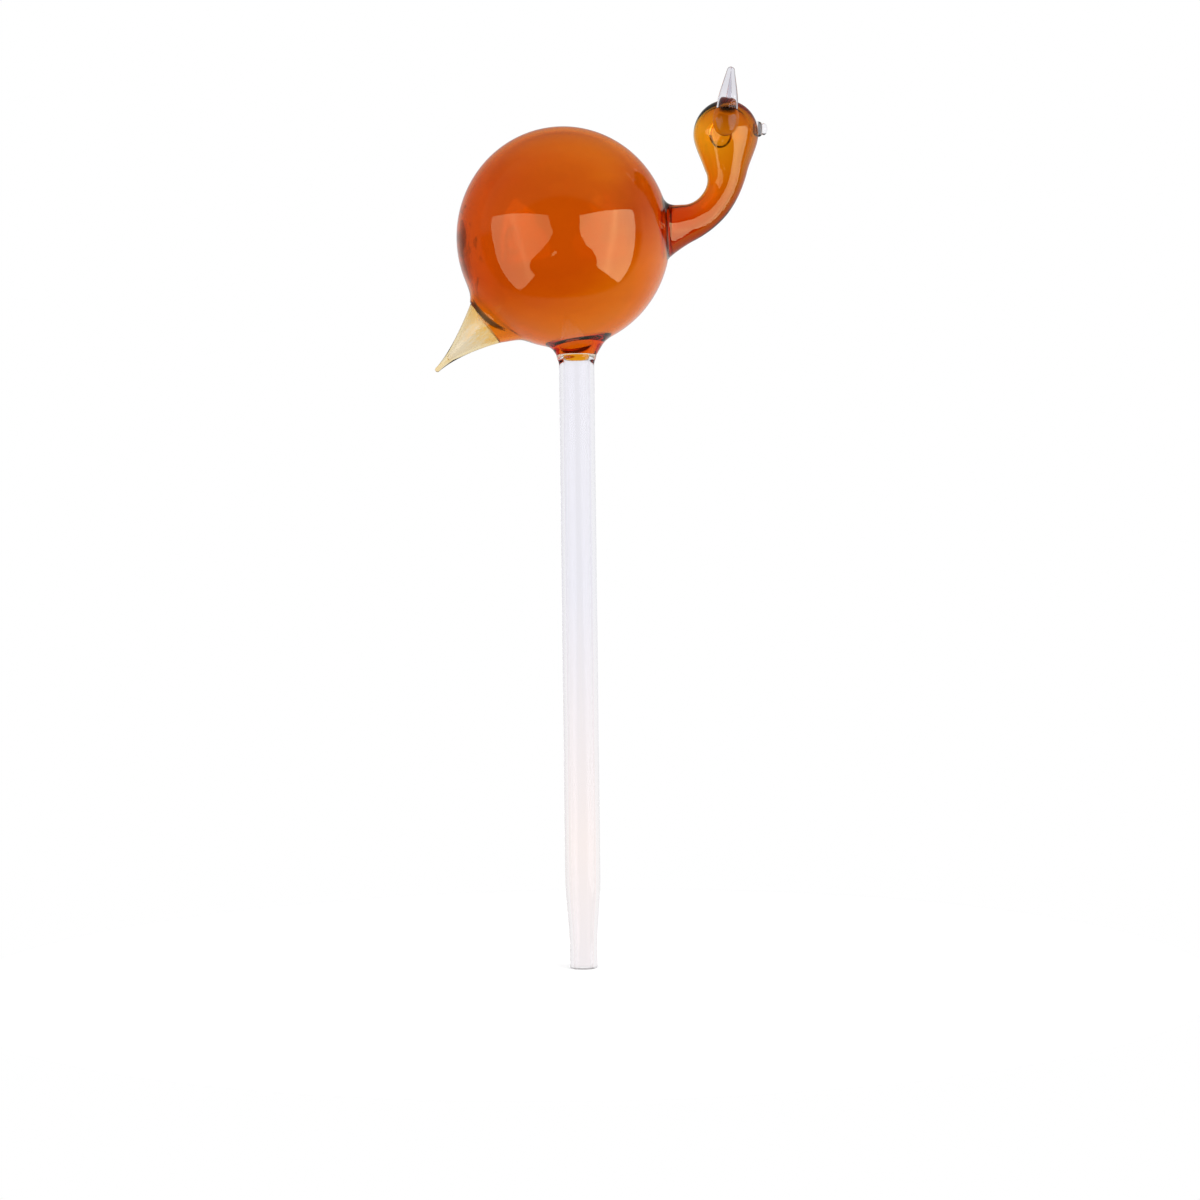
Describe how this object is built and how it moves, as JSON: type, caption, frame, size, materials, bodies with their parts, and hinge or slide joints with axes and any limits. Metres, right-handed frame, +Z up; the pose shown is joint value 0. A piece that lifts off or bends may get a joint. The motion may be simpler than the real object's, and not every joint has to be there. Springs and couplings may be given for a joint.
{
  "type": "glass watering globe",
  "caption": "Hand-blown amber glass watering globe shaped like a snail: hollow water bulb, bent neck and head, drawn tail and a long clear stem that lets water seep into soil.",
  "frame": {"origin": "centre of the stem's open mouth, on the stem's axis", "axes": "+Z up along the stem to the globe, +X the way the head looks, +Y to the figure's left side"},
  "size_m": [0.1088, 0.0694, 0.2897],
  "materials": {
    "amber_glass": "gloss",
    "clear_glass": "gloss",
    "straw_glass": "gloss"
  },
  "bodies": {
    "root": {"stem": "clear_glass", "globe": "amber_glass", "neck_and_head": "amber_glass", "tail": "straw_glass", "right_horn": "clear_glass", "left_horn": "clear_glass", "nose": "clear_glass"}
  },
  "joints": []
}
